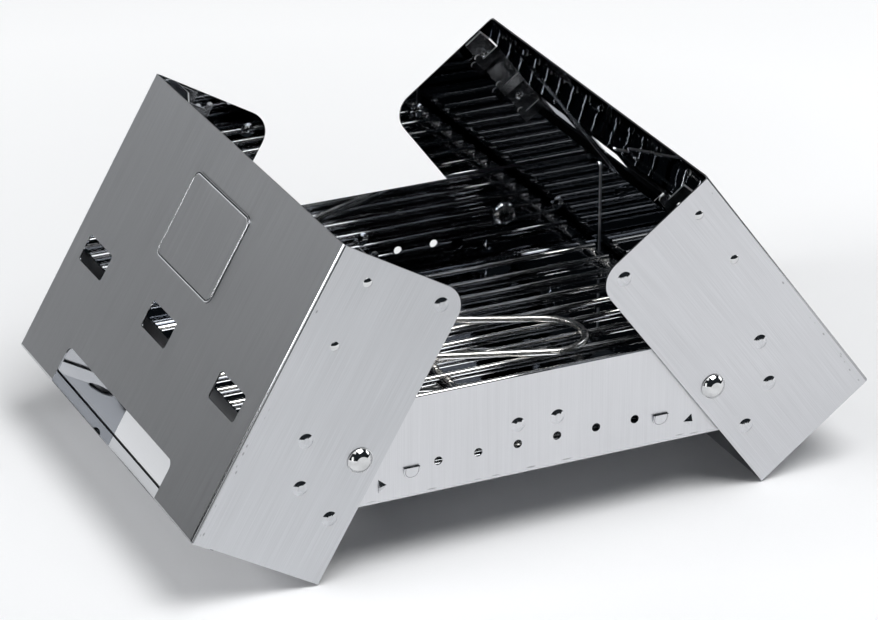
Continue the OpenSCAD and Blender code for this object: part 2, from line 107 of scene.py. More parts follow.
class Shader:
    """A small helper that adds and links the nodes of one material."""

    def __init__(self, name: str) -> None:
        """Starts an empty material with an output and a principled shader.

        Args:
            name: The material's name.
        """
        self.material = bpy.data.materials.new(name)
        self.material.use_nodes = True
        self.tree = self.material.node_tree
        self.tree.nodes.clear()
        self.place = self.add("TexCoord")
        self.skin = self.add("BsdfPrincipled")
        out = self.add("OutputMaterial")
        self.link(self.skin.outputs["BSDF"], out.inputs["Surface"])

    def add(self, kind: str, **settings: object) -> bpy.types.Node:
        """Adds a node and sets its properties.

        Args:
            kind: The node's type name, without ShaderNode.
            **settings: Properties of the node to set.

        Returns:
            The new node.
        """
        node = self.tree.nodes.new(f"ShaderNode{kind}")
        for key, value in settings.items():
            setattr(node, key, value)
        return node

    def link(self, source: Socket, target: Socket) -> None:
        """Links an output socket to an input socket."""
        self.tree.links.new(source, target)

    def fill(self, sockets: Iterable[Socket], values: Iterable[object]) -> None:
        """Gives each input socket its value, another socket or a constant."""
        for socket, value in zip(sockets, values):
            if isinstance(value, Socket):
                self.link(value, socket)
            else:
                socket.default_value = value

    def math(self, what: str, a: object, b: object = 0.0) -> Socket:
        """Adds a math node.

        Args:
            what: The operation, such as MULTIPLY.
            a: The first value, a socket or a number.
            b: The second value, a socket or a number.

        Returns:
            The result's socket.
        """
        node = self.add("Math", operation=what)
        self.fill(node.inputs, (a, b))
        return node.outputs[0]

    def all_of(self, *factors: object) -> Socket:
        """Multiplies two or more values, each a socket or a number."""
        product = factors[0]
        for factor in factors[1:]:
            product = self.math("MULTIPLY", product, factor)
        return product

    def vector(self, what: str, a: object, b: object) -> bpy.types.Node:
        """Adds a vector math node with two inputs, each a socket or three numbers."""
        node = self.add("VectorMath", operation=what)
        self.fill(node.inputs, (a, b))
        return node

    def ramp(self, value: Socket, low: float, high: float,
             out_low: float = 0.0, out_high: float = 1.0, kind: str = "LINEAR") -> Socket:
        """Maps a value from one range to another, clamped.

        Args:
            value: The socket to map.
            low: The input that gives out_low.
            high: The input that gives out_high.
            out_low: The result at low.
            out_high: The result at high.
            kind: How the result runs in between.

        Returns:
            The mapped value's socket.
        """
        node = self.add("MapRange", clamp=True, interpolation_type=kind)
        keys = ("Value", "From Min", "From Max", "To Min", "To Max")
        self.fill([node.inputs[key] for key in keys], (value, low, high, out_low, out_high))
        return node.outputs["Result"]

    def spread(self, noise: Socket, out_low: float, out_high: float) -> Socket:
        """Maps a noise texture's usual range to another one, clamped."""
        return self.ramp(noise, NOISE_LOW, NOISE_HIGH, out_low, out_high)

    def mix_color(self, share: object, a: object, b: object) -> Socket:
        """Mixes two colours, each a socket or three numbers, by a share from 0 to 1."""
        node = self.add("Mix", data_type="RGBA")
        colors = [(*value, 1.0) if isinstance(value, tuple) else value for value in (a, b)]
        self.fill((node.inputs[0], node.inputs[6], node.inputs[7]), (share, *colors))
        return node.outputs[2]

    def mix_value(self, share: object, a: object, b: object) -> Socket:
        """Mixes two values, each a socket or a number, by a share from 0 to 1."""
        node = self.add("Mix", data_type="FLOAT")
        self.fill((node.inputs[0], node.inputs[2], node.inputs[3]), (share, a, b))
        return node.outputs[0]

    def local(self, frame: Matrix, scale: Sequence[float] = (1, 1, 1)) -> Socket:
        """Object coordinates seen in a part's own frame, then stretched.

        Args:
            frame: The part's frame, as a matrix from it to the model's frame.
            scale: What each axis is multiplied by after the turn.

        Returns:
            The socket of the coordinates.
        """
        turn = self.add("Mapping", vector_type="POINT")
        self.link(self.place.outputs["Object"], turn.inputs["Vector"])
        back = frame.inverted()
        turn.inputs["Location"].default_value = back.to_translation()
        turn.inputs["Rotation"].default_value = back.to_euler()
        return self.vector("MULTIPLY", turn.outputs["Vector"], tuple(scale)).outputs[0]

    def axes(self, frame: Matrix) -> Sequence[Socket]:
        """Object coordinates seen in a part's own frame, as one socket for each of X, Y and Z."""
        where = self.add("SeparateXYZ")
        self.link(self.local(frame), where.inputs[0])
        return tuple(where.outputs)

    def facing(self, frame: Matrix, axis: int) -> Socket:
        """How squarely a face looks along one axis of a part's frame, from 0 to 1."""
        along = tuple(frame.to_3x3().normalized().col[axis])
        tilt = self.vector("DOT_PRODUCT", self.place.outputs["Normal"], along)
        return self.math("ABSOLUTE", tilt.outputs["Value"])

    def noise(self, place: Socket, scale: float, detail: float = 2.0) -> Socket:
        """Adds a noise texture and returns its value's socket."""
        node = self.add("TexNoise")
        keys = ("Vector", "Scale", "Detail")
        self.fill([node.inputs[key] for key in keys], (place, scale, detail))
        return node.outputs["Fac"]

    def clouds(self, noise: Socket, shade: float, color: Color) -> Socket:
        """Darkens a colour in soft clouds and returns the result's socket."""
        dark = tuple(shade * c for c in color)
        return self.mix_color(self.ramp(noise, CLOUD_LOW, CLOUD_HIGH), dark, color)

    def metal(self, color: Socket, rough: Socket, height: Socket, depth: float) -> Material:
        """Finishes the material as a bare metal with a fine relief.

        Args:
            color: The colour's socket.
            rough: The roughness's socket.
            height: The relief's height, as a share of its depth.
            depth: The relief's depth in metres.

        Returns:
            The material.
        """
        self.link(color, self.skin.inputs["Base Color"])
        self.link(rough, self.skin.inputs["Roughness"])
        self.skin.inputs["Metallic"].default_value = 1.0
        relief = self.add("Bump")
        relief.inputs["Strength"].default_value = 1.0
        relief.inputs["Distance"].default_value = depth
        self.link(height, relief.inputs["Height"])
        self.link(relief.outputs["Normal"], self.skin.inputs["Normal"])
        return self.material


@dataclass(frozen=True)
class Pattern:
    """A noise pattern that keeps to a part's own frame.

    Attributes:
        scale: Scale of the noise.
        run: What each axis is multiplied by; a small number draws the pattern out along it.
        detail: Number of finer layers in it.
    """

    scale: float
    run: Point = (1, 1, 1)
    detail: float = 2.0

    def build(self, s: Shader, frame: Matrix) -> Socket:
        """Adds the pattern to a material and returns its value's socket."""
        return s.noise(s.local(frame, self.run), self.scale, self.detail)


BRUSH_LINES = Pattern(3200.0, (1, 1, 0.008))
BROAD_LINES = Pattern(300.0, (1, 1, 0.03))
SHEET_CLOUDS = Pattern(18.0, detail=3.0)
SHEET_SWELL = Pattern(22.0, detail=0.0)
HOOK_LINES = Pattern(2400.0, (1, 1, 0.02))
HOOK_CLOUDS = Pattern(120.0, detail=3.0)
DRAW_LINES = Pattern(3000.0, (0.02, 1, 1))
WIRE_CLOUDS = Pattern(90.0, detail=3.0)


# Details of the pressed sheet


@dataclass(frozen=True)
class PaintedPanelLight:
    """Painted light and shade on a shell's brushed face: a slow change of tone from its free edge
    down to its foot, and painted shade on its sheared edges.

    Attributes:
        wing: How much darker each wing is painted at its top, painted shade.
        wing_from: Share of the height from which they darken.
        top: Tone of the end panel at its top edge, at the back, painted light.
        foot: How much darker it is painted at its foot, painted shade.
        front: How much darker it is painted at its front bend, painted shade.
        height: Height of the panel.
        half: Half of its width.
        bend: Width of the strip beside each bend that counts as no wing.
        side: Width of the strip at each side of the panel that counts as no panel.
        cut: How much darker the sheared edges are painted, painted shade.
        square: Least share of a normal along an axis for a face that looks along it.
    """

    wing: float = 0.12
    wing_from: float = 0.35
    top: float = 1.3
    foot: float = 0.45
    front: float = 0.3
    height: float = 152 * MM
    half: float = 117 * MM
    bend: float = 3 * MM
    side: float = 5 * MM
    cut: float = 0.7
    square: float = 0.7

    def tone(self, s: Shader, frame: Matrix) -> Socket:
        """Builds the painted light and shade.

        Args:
            s: The material's shader.
            frame: The shell's frame.

        Returns:
            The socket of a factor for the brushed colour.
        """
        x, y, z = s.axes(frame)
        # Painted light and shade: the end panel darker towards its foot and its front bend and
        # lighter at its top, each wing darker towards its top.
        down = s.ramp(z, 0.0, self.height, self.foot, 0.0)
        front_shade = s.ramp(y, -self.half, self.half, self.front, 0.0)
        panel = s.math("SUBTRACT", s.math("SUBTRACT", self.top, down), front_shade)
        near = s.math("LESS_THAN", s.math("ABSOLUTE", x), PANEL_X)
        wing_shade = s.ramp(z, self.wing_from * self.height, self.height, 1.0, 1.0 - self.wing)
        return s.mix_value(near, wing_shade, panel)

    def edge_shade(self, s: Shader, frame: Matrix) -> Socket:
        """Finds the sheared edges of the sheet and paints them darker than its faces, painted
        shade.

        Args:
            s: The material's shader.
            frame: The shell's frame.

        Returns:
            The socket of a factor for the brushed colour.
        """
        x, y, z = (s.math("ABSOLUTE", axis) for axis in s.axes(frame))
        off_x, off_y = (s.math("LESS_THAN", s.facing(frame, axis), self.square) for axis in (0, 1))
        out, up = (s.math("GREATER_THAN", value, self.bend) for value in (x, z))
        near = s.math("LESS_THAN", x, PANEL_X)
        inner = s.math("LESS_THAN", y, self.half - self.side)
        # The sheared edges are painted darker, painted shade.
        edges = s.math("MAXIMUM", s.all_of(out, up, off_y), s.all_of(near, inner, off_x))
        return s.math("SUBTRACT", 1.0, s.all_of(edges, self.cut))


@dataclass(frozen=True)
class PlateRim:
    """The rolled rim that runs around the plain pressed plate on an end panel.

    Attributes:
        half_w: Half of the plate's width.
        half_h: Half of its height.
        corner: Its corner radius.
        middle_z: Height of its middle over the bottom plate.
        inset: How far the rim's crest lies inside the plate's outline.
        width: Distance from the crest to the foot of the rim.
        depth: How far the rim stands out.
        rough: Roughness of the crest.
    """

    half_w: float = 33.5 * MM
    half_h: float = 23 * MM
    corner: float = 5 * MM
    middle_z: float = 108.4 * MM
    inset: float = 1.1 * MM
    width: float = 0.75 * MM
    depth: float = 0.2 * MM
    rough: float = 0.06

    def height(self, s: Shader, frame: Matrix) -> Socket:
        """Builds the rim's height.

        Args:
            s: The material's shader.
            frame: The shell's frame.

        Returns:
            The socket of the height, 1 on the crest and 0 away from the rim.
        """
        x, y, z = s.axes(frame)
        side = s.math("SUBTRACT", s.math("ABSOLUTE", y), self.half_w - self.corner)
        up = s.math("ABSOLUTE", s.math("SUBTRACT", z, self.middle_z))
        up = s.math("SUBTRACT", up, self.half_h - self.corner)
        out, rise = (s.math("MAXIMUM", value, 0.0) for value in (side, up))
        round_off = s.math("SQRT", s.math("ADD", s.all_of(out, out), s.all_of(rise, rise)))
        flat = s.math("MINIMUM", s.math("MAXIMUM", side, up), 0.0)
        edge = s.math("SUBTRACT", s.math("ADD", round_off, flat), self.corner - self.inset)
        bead = s.ramp(s.math("ABSOLUTE", edge), 0.0, self.width, 1.0, 0.0, "SMOOTHSTEP")
        return s.all_of(bead, s.math("LESS_THAN", s.math("ABSOLUTE", x), PANEL_X))


@dataclass(frozen=True)
class TabLines:
    """Fine dark lines where the press has sheared the half-moon tabs of the tray.

    Attributes:
        x: Distance of the tabs from the tray's middle.
        top: Height of their flat edges.
        radius: Radius of their round ends.
        drop: Distance from the flat edge down to the middle of the round end.
        width: Width of the line.
        face_y: Distance of the tray's walls from the middle.
        dark: How much darker the line is.
    """

    x: float = 64.3 * MM
    top: float = 16.1 * MM
    radius: float = 3.3 * MM
    drop: float = 2.15 * MM
    width: float = 0.34 * MM
    face_y: float = 112.5 * MM
    dark: float = 0.6

    def tone(self, s: Shader, frame: Matrix) -> Socket:
        """Builds the tone that the lines give the brushed face.

        Args:
            s: The material's shader.
            frame: The tray's frame.

        Returns:
            The socket of a factor, 1 where there is no line.
        """
        x, y, z = s.axes(frame)
        across = s.math("SUBTRACT", s.math("ABSOLUTE", x), self.x)
        down = s.math("MINIMUM", s.math("SUBTRACT", z, self.top - self.drop), 0.0)
        reach = s.math("SQRT", s.math("ADD", s.all_of(across, across), s.all_of(down, down)))
        off = s.math("ABSOLUTE", s.math("SUBTRACT", reach, self.radius))
        line = s.ramp(off, 0.4 * self.width, 0.6 * self.width, 1.0, 0.0)
        wall = s.math("GREATER_THAN", s.math("ABSOLUTE", y), self.face_y)
        line = s.all_of(line, s.math("LESS_THAN", z, self.top), wall, self.dark)
        return s.math("SUBTRACT", 1.0, line)


@dataclass(frozen=True)
class FlangeCutAndHighlight:
    """Sheared edges of the tray's corner flanges, which stand upright inside its end walls, painted
    pale: partly the duller cut, partly a painted highlight.

    Attributes:
        near: Least distance of the flanges from the tray's middle, along X.
        inner: Least distance of their edges from the middle, along Y.
        outer: Greatest distance.
        color: Colour of a sheared edge, partly a painted highlight.
        rough: Its roughness.
        square: Least share of a normal along Y for a face that looks along it.
    """

    near: float = 138 * MM
    inner: float = 94 * MM
    outer: float = 106 * MM
    color: Color = (0.80, 0.81, 0.82)
    rough: float = 0.4
    square: float = 0.5

    def mask(self, s: Shader, frame: Matrix) -> Socket:
        """Finds the edges.

        Args:
            s: The material's shader.
            frame: The tray's frame.

        Returns:
            The socket of a factor, 1 on an edge.
        """
        x, y, _ = s.axes(frame)
        across = s.math("ABSOLUTE", y)
        return s.all_of(
            s.math("GREATER_THAN", s.facing(frame, 1), self.square),
            s.math("GREATER_THAN", s.math("ABSOLUTE", x), self.near),
            s.math("GREATER_THAN", across, self.inner),
            s.math("LESS_THAN", across, self.outer))


@dataclass(frozen=True)
class PressMarks:
    """Small dark prints that the bending tool left beside a bend.

    Attributes:
        low: Nearest distance of the prints from the frame's origin along the measured axis.
        high: Furthest distance.
        axis: The axis that low and high are measured along, 0 for X and 2 for Z.
        face_y: Distance of the marked faces from the middle, along Y.
        slack: How much nearer to the middle a face may lie.
        run: How much each print is drawn out along the bend.
        rare: Share of the prints left out near the foot, or everywhere on an even row.
        rarest: Share of the prints left out beyond the reach.
        reach: Length over which they grow rare, along Z, or 0 for an even row.
        count: Number of prints in a metre.
        size: Radii of a print's dark middle and of its rim, as shares of the space for one.
        dark: How much darker a print is.
    """

    low: float
    high: float
    axis: int
    face_y: float
    slack: float = 0.02 * MM
    run: float = 0.5
    rare: float = 0.45
    rarest: float = 0.88
    reach: float = 0.0
    count: float = 620.0
    size: Pair = (0.16, 0.34)
    dark: float = 0.45

    def tone(self, s: Shader, frame: Matrix) -> Socket:
        """Builds the tone that the prints give the brushed face.

        Args:
            s: The material's shader.
            frame: The part's frame.

        Returns:
            The socket of a factor, 1 where there is no print.
        """
        axes = s.axes(frame)
        along = s.math("ABSOLUTE", axes[self.axis])
        run = (self.run, 1, 1) if self.axis == 2 else (1, 1, self.run)
        cells = s.add("TexVoronoi", feature="F1")
        cells.inputs["Scale"].default_value = self.count
        s.link(s.local(frame, run), cells.inputs["Vector"])
        pick = s.add("SeparateColor")
        s.link(cells.outputs["Color"], pick.inputs[0])
        least = self.rare
        if self.reach:
            least = s.ramp(axes[2], 0.02 * self.reach, self.reach, self.rare, self.rarest)
        shade = s.all_of(
            s.ramp(cells.outputs["Distance"], *self.size, 1.0, 0.0),
            s.math("GREATER_THAN", pick.outputs[0], least),
            s.math("GREATER_THAN", along, self.low),
            s.math("LESS_THAN", along, self.high),
            s.math("GREATER_THAN", s.math("ABSOLUTE", axes[1]), self.face_y - self.slack),
            self.dark)
        return s.math("SUBTRACT", 1.0, shade)


# Finishes


@dataclass(frozen=True)
class TwoFacedSheet:
    """Stainless sheet with a brushed face outside and a mirror-bright face inside.

    Attributes:
        name: The material's name.
        brushed: Colour of the brushed face.
        bright: Colour of the mirror face.
        brushed_rough: Roughness of the brushed face.
        bright_rough: Roughness of the mirror face.
        smear: How much the brush lines draw a highlight out.
        grain: Depth of the brush lines in metres.
        wave: Depth of the sheet's slight waviness in metres.
        press_rough: Roughness where the press has stretched the sheet smooth.
        contrast: How strongly the brush lines show, against the tray's.
        tones: How far the brush lines, the broad lines and the clouds change the tone.
        line_rough: How far the brush lines change the roughness.
        cloud_rough: How far the clouds dull the mirror face.
        cloud_range: The part of the clouds that does so.
        flat: Shares of a normal along an axis from which a face is partly and wholly flat.
        painted_light: Painted light and shade on the brushed face: how it is painted darker and
            lighter over the end panel and each wing, and darker on the sheared edges.
        rim: The rolled rim of the plain pressed plate.
        tabs: Where the shear lines of the half-moon tabs lie.
        marks: Where the press marks lie.
        flanges: Where the edges of the folded corner flanges lie, which are painted pale, partly as
            a painted highlight.
    """

    name: str
    brushed: Color = (0.60, 0.605, 0.625)
    bright: Color = (0.40, 0.415, 0.44)
    brushed_rough: float = 0.34
    bright_rough: float = 0.012
    smear: float = 0.55
    grain: float = 0.0025 * MM
    wave: float = 0.06 * MM
    press_rough: float = 0.13
    contrast: float = 1.0
    tones: Triple = (0.035, 0.018, 0.012)
    line_rough: float = 0.03
    cloud_rough: float = 0.01
    cloud_range: Pair = (0.4, 0.7)
    flat: Pair = (0.975, 0.992)
    painted_light: Optional[PaintedPanelLight] = None
    rim: Optional[PlateRim] = None
    tabs: Optional[TabLines] = None
    marks: Optional[PressMarks] = None
    flanges: Optional[FlangeCutAndHighlight] = None

    def make(self, frame: Matrix, inside: Vector) -> Material:
        """Builds the material.

        Args:
            frame: The part's frame; the brush lines run along its Z.
            inside: A point that the sheet bends around, in the model's frame.

        Returns:
            The material.
        """
        s = Shader(self.name)
        normal = s.place.outputs["Normal"]
        reach = s.vector("SUBTRACT", s.place.outputs["Object"], tuple(inside))
        toward = s.vector("DOT_PRODUCT", reach.outputs[0], normal)
        outer = s.math("GREATER_THAN", toward.outputs["Value"], 0.0)
        lines = BRUSH_LINES.build(s, frame)
        cloud = SHEET_CLOUDS.build(s, frame)
        level = self.level(s, frame)

        tone = self.tone(s, frame, lines, cloud)
        color = s.vector("MULTIPLY", self.brushed, tone).outputs[0]
        streaks = s.spread(lines, -self.line_rough, self.line_rough)
        rough = s.math("ADD", streaks, self.brushed_rough)
        rough = s.mix_value(level, self.press_rough, rough)
        relief = lines
        if self.rim:
            bead = self.rim.height(s, frame)
            rough = s.mix_value(bead, rough, self.rim.rough)
            relief = s.math("ADD", lines, s.all_of(bead, self.rim.depth / self.grain))

        bright: object = self.bright
        dull = self.bright_rough + self.cloud_rough
        bright_rough = s.ramp(cloud, *self.cloud_range, self.bright_rough, dull)
        # The flanges' sheared edges are painted pale on the mirror face: partly the duller cut,
        # partly a painted highlight.
        if self.flanges:
            edge = self.flanges.mask(s, frame)
            bright = s.mix_color(edge, bright, self.flanges.color)
            bright_rough = s.mix_value(edge, bright_rough, self.flanges.rough)
        swell = s.all_of(SHEET_SWELL.build(s, frame), self.wave / self.grain)

        across = s.vector("CROSS_PRODUCT", normal, tuple(frame.to_3x3() @ Vector((0, 0, 1))))
        s.link(across.outputs[0], s.skin.inputs["Tangent"])
        s.link(s.all_of(outer, level, self.smear), s.skin.inputs["Anisotropic"])
        return s.metal(s.mix_color(outer, bright, color), s.mix_value(outer, bright_rough, rough),
                       s.mix_value(outer, swell, relief), self.grain)

    def tone(self, s: Shader, frame: Matrix, lines: Socket, cloud: Socket) -> Socket:
        """Builds the tone of the brushed face, with any painted light and shade.

        Args:
            s: The material's shader.
            frame: The part's frame.
            lines: The socket of the brush lines.
            cloud: The socket of the slow changes.

        Returns:
            The socket of a factor for the brushed colour.
        """
        tone: object = 1.0
        layers = (lines, BROAD_LINES.build(s, frame), cloud)
        for layer, depth, gain in zip(layers, self.tones, (self.contrast, 1.0, 1.0)):
            tone = s.math("ADD", s.spread(layer, -gain * depth, gain * depth), tone)
        # Painted light and shade: the gradients over the end panel and each wing, and the darker
        # sheared edges.
        if self.painted_light:
            tone = s.all_of(tone, self.painted_light.tone(s, frame), self.painted_light.edge_shade(s, frame))
        if self.tabs:
            tone = s.all_of(tone, self.tabs.tone(s, frame))
        if self.marks:
            tone = s.all_of(tone, self.marks.tone(s, frame))
        return tone

    def level(self, s: Shader, frame: Matrix) -> Socket:
        """Finds the flat faces, as a factor that falls to 0 on pressed slopes and bends.

        Args:
            s: The material's shader.
            frame: The part's frame, whose axes the flat faces stand square to.

        Returns:
            The factor's socket.
        """
        most = s.facing(frame, 0)
        for axis in (1, 2):
            most = s.math("MAXIMUM", most, s.facing(frame, axis))
        return s.ramp(most, *self.flat)


@dataclass(frozen=True)
class BrightSteel:
    """Polished steel with faint wipe marks, for rivets, washers and welds, and near black for the
    webs painted as the grooves' shade.

    Attributes:
        name: The material's name.
        color: Its colour.
        rough: Its mean roughness.
        shade: Tone of the wipe marks.
        mark: Size of the wipe marks, as a noise scale.
        finer: How many times finer the scratches are than the wipe marks.
        relief: Depth of the fine scratches in metres.
    """

    name: str
    color: Color = (0.66, 0.665, 0.67)
    rough: float = 0.16
    shade: float = 0.82
    mark: float = 220.0
    finer: float = 12.0
    relief: float = 0.0003 * MM

    def make(self) -> Material:
        """Builds the material."""
        s = Shader(self.name)
        where = s.place.outputs["Object"]
        color = s.clouds(s.noise(where, self.mark, 3.0), self.shade, self.color)
        fine = s.noise(where, self.finer * self.mark)
        rough = s.spread(fine, self.rough * 0.7, self.rough * 1.4)
        return s.metal(color, rough, fine, self.relief)


@dataclass(frozen=True)
class HookSheet:
    """Bright sheet of the grate hooks, with sheared edges painted pale: partly the duller cut,
    partly a painted highlight.

    Attributes:
        name: The material's name.
        face: Colour of the sheet's faces.
        edge: Colour of the sheared edges, partly a painted highlight.
        shade: Tone of the faces' darker clouds.
        face_rough: Roughness of the faces.
        edge_rough: Roughness of the edges.
        edge_from: Least share of a normal along the shell's height on a sheared edge.
        relief: Depth of the fine scratches in metres.
    """

    name: str
    face: Color = (0.42, 0.43, 0.45)
    edge: Color = (0.82, 0.83, 0.84)
    shade: float = 0.8
    face_rough: float = 0.16
    edge_rough: float = 0.38
    edge_from: float = 0.35
    relief: float = 0.0006 * MM

    def make(self, frame: Matrix) -> Material:
        """Builds the material.

        Args:
            frame: The shell's frame; the sheared edges of the hooks face along its Z.

        Returns:
            The material.
        """
        s = Shader(self.name)
        edge = s.math("GREATER_THAN", s.facing(frame, 2), self.edge_from)
        cloud = HOOK_CLOUDS.build(s, frame)
        # The sheared edges get a pale colour, partly a painted highlight.
        color = s.mix_color(edge, s.clouds(cloud, self.shade, self.face), self.edge)
        rough = s.spread(cloud, self.face_rough * 0.8, self.face_rough * 1.2)
        rough = s.mix_value(edge, rough, self.edge_rough)
        return s.metal(color, rough, HOOK_LINES.build(s, frame), self.relief)


@dataclass(frozen=True)
class DrawnWire:
    """Bright drawn wire, with draw lines along its run.

    Attributes:
        name: The material's name.
        color: Its colour.
        rough: Its mean roughness.
        shade: Tone of its darker clouds.
        relief: Depth of the draw lines in metres.
    """

    name: str
    color: Color = (0.90, 0.885, 0.86)
    rough: float = 0.085
    shade: float = 0.78
    relief: float = 0.0006 * MM

    def make(self, frame: Matrix) -> Material:
        """Builds the material.

        Args:
            frame: The wire's frame; its draw lines run along X.

        Returns:
            The material.
        """
        s = Shader(self.name)
        draw = DRAW_LINES.build(s, frame)
        cloud = WIRE_CLOUDS.build(s, frame)
        dark = tuple(self.shade * c for c in self.color)
        color = s.mix_color(s.spread(cloud, 0.0, 1.0), dark, self.color)
        rough = s.spread(draw, self.rough * 0.7, self.rough * 1.5)
        return s.metal(color, rough, draw, self.relief)


@dataclass(frozen=True)
class StudioPaper:
    """Pale paper of the studio floor, shown near white and still taking the grill's shadow.

    Attributes:
        name: The material's name.
        color: Its colour.
        shade: Tone of its fibres.
        lift: Light added where the camera, or a reflection, sees the paper far from the grill.
        middle: The point from which the distance is measured.
        lift_from: Distance at which the added light begins.
        lift_to: Distance at which it is all there.
    """

    name: str
    color: Color = (0.84, 0.845, 0.855)
    shade: float = 0.985
    lift: float = 0.19
    middle: Point = (-0.11, 0.0, 0.0)
    lift_from: float = 0.25
    lift_to: float = 0.6

    def make(self) -> Material:
        """Builds the material."""
        s = Shader(self.name)
        fibre = s.noise(s.place.outputs["Object"], 900.0, 3.0)
        dark = tuple(self.shade * c for c in self.color)
        color = s.mix_color(s.spread(fibre, 0.0, 1.0), dark, self.color)
        s.link(color, s.skin.inputs["Base Color"])
        s.skin.inputs["Roughness"].default_value = 0.9
        s.skin.inputs["Specular IOR Level"].default_value = 0.1
        ray = s.add("LightPath")
        seen = s.math("MAXIMUM", ray.outputs["Is Camera Ray"], ray.outputs["Is Glossy Ray"])
        seen = s.math("MAXIMUM", seen, ray.outputs["Is Transmission Ray"])
        away = s.vector("DISTANCE", s.place.outputs["Object"], self.middle)
        far = s.ramp(away.outputs["Value"], self.lift_from, self.lift_to, 0.0, self.lift)
        s.skin.inputs["Emission Color"].default_value = (1.0, 1.0, 1.0, 1.0)
        s.link(s.all_of(seen, far), s.skin.inputs["Emission Strength"])
        return s.material


# Mesh building


def alone() -> None:
    """Deselects everything, so that an operator acts only on what is added next."""
    if bpy.context.object and bpy.context.object.mode != "OBJECT":
        bpy.ops.object.mode_set(mode="OBJECT")
    bpy.ops.object.select_all(action="DESELECT")
    bpy.context.view_layer.objects.active = None


def settle(obj: Object, name: str) -> Object:
    """Applies an object's place to its mesh and names it.

    Args:
        obj: The finished object.
        name: Its name.

    Returns:
        The same object.
    """
    alone()
    obj.select_set(True)
    bpy.context.view_layer.objects.active = obj
    bpy.ops.object.transform_apply(location=True, rotation=True, scale=True)
    bpy.ops.object.shade_smooth_by_angle(angle=SMOOTH_TO)
    obj.name = name
    obj.data.name = name
    return obj


def break_edges(obj: Object) -> None:
    """Breaks a CAD node's sharp edges and evens its flat faces' shading, with live modifiers."""
    join = obj.modifiers.new("join", "WELD")
    join.merge_threshold = JOIN_REACH
    broken = obj.modifiers.new("broken_edges", "BEVEL")
    broken.width = BROKEN_EDGE
    broken.segments = BROKEN_STEPS
    broken.limit_method = "ANGLE"
    broken.angle_limit = BROKEN_FROM
    broken.use_clamp_overlap = True
    split = obj.modifiers.new("crisp_presswork", "EDGE_SPLIT")
    split.split_angle = CRISP_FROM
    split.use_edge_sharp = False
    even = obj.modifiers.new("even_shading", "WEIGHTED_NORMAL")
    even.mode = "FACE_AREA"
    even.weight = FACE_WEIGHT


# Places


@dataclass
class Layout:
    """Where the moving parts stand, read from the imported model.

    Attributes:
        tilt: Tilt of the tray about Y, in radians.
        pivot_in: Distance from a pivot to the end panel's outer face.
        pivot_up: Height of a pivot above the bottom plate.
        pivot_z: Height of the pivots above the tray's underside.
    """

    frame: dict
    tilt: float = 0.0
    pivot_in: float = 60 * MM
    pivot_up: float = 62 * MM
    pivot_z: float = 26.1 * MM

    def __post_init__(self) -> None:
        """Reads the tilt from the two pivots."""
        left, right = self.pivot(Side.LEFT), self.pivot(Side.RIGHT)
        self.tilt = -math.atan2(right.z - left.z, right.x - left.x)

    def joint(self, side: Side) -> dict:
        """The hinge of one shell, as the record gives it."""
        name = f"{side.name.lower()}_shell_hinge"
        return next(joint for joint in self.frame["joints"] if joint["name"] == name)

    def pivot(self, side: Side) -> Vector:
        """The middle of one shell's hinge line."""
        return Vector(self.joint(side)["pos_m"])

    def tray(self) -> Matrix:
        """The tray's frame: its origin in the middle of the tray's underside."""
        middle = (self.pivot(Side.LEFT) + self.pivot(Side.RIGHT)) / 2
        turn = Matrix.Rotation(self.tilt, 4, "Y")
        return Matrix.Translation(middle) @ turn @ Matrix.Translation((0, 0, -self.pivot_z))

    def shell(self, side: Side) -> Matrix:
        """One shell's frame: its origin at the foot of the end panel, Z up the shell.

        Args:
            side: Which shell.

        Returns:
            The matrix from the shell's frame to the model's.
        """
        lean = math.radians(-self.joint(side)["range_deg"][0])
        turn = Matrix.Rotation(self.tilt - side.value * lean, 4, "Y")
        foot = Matrix.Translation((side.value * self.pivot_in, 0, -self.pivot_up))
        return Matrix.Translation(self.pivot(side)) @ turn @ foot

    def dress(self, node: str, material: Material, broken: bool = False) -> None:
        """Gives a CAD node its material.

        Args:
            node: The node's name.
            material: The material.
            broken: Whether its sharp edges are broken too.
        """
        obj = self.frame["nodes"][node]
        if broken:
            break_edges(obj)
        if not obj.material_slots:
            obj.data.materials.append(material)
        for each in obj.material_slots:
            each.material = material
        log.info("%s: %s", node, material.name)


# Sub-assemblies


